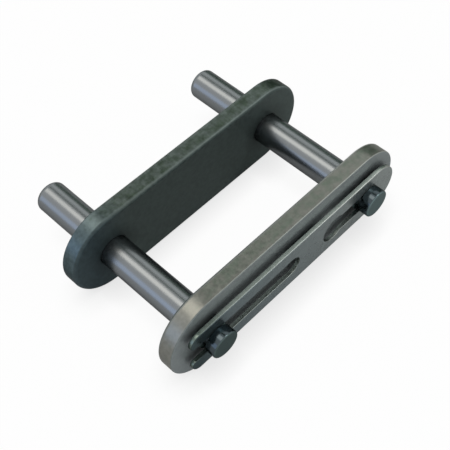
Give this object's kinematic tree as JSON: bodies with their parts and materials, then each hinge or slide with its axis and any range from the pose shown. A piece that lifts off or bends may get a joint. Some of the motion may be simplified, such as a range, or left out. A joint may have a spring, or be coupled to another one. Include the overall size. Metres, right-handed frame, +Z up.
{
  "type": "chain connecting link",
  "caption": "Roller chain connecting link with a slip-fit cover plate, long attachment pins on the back and a keyhole spring clip seated in the pins' grooves.",
  "frame": {"origin": "middle of the overall size in X and Y, on the surface that the plates' lower long edges stand on", "axes": "+X along the chain towards the clip's closed end, +Y along the pins towards their long tails, +Z up"},
  "size_m": [0.0552, 0.044, 0.0172],
  "materials": {
    "plate_steel": "dark tumbled steel, lightly oiled",
    "pin_steel": "ground and polished steel",
    "clip_steel": "smooth spring steel"
  },
  "bodies": {
    "link": {"back_plate": "plate_steel", "left_pin": "pin_steel", "right_pin": "pin_steel"},
    "cover": {"cover_plate": "plate_steel"},
    "clip": {"spring_clip": "clip_steel"}
  },
  "joints": [
    {"name": "cover_slide", "type": "slide", "parent": "link", "child": "cover", "axis": [0, 1, 0], "range_m": [-0.0005, 0.0195]},
    {"name": "clip_slide", "type": "slide", "parent": "link", "child": "clip", "axis": [1, 0, 0], "range_m": [0, 0.0091]}
  ]
}
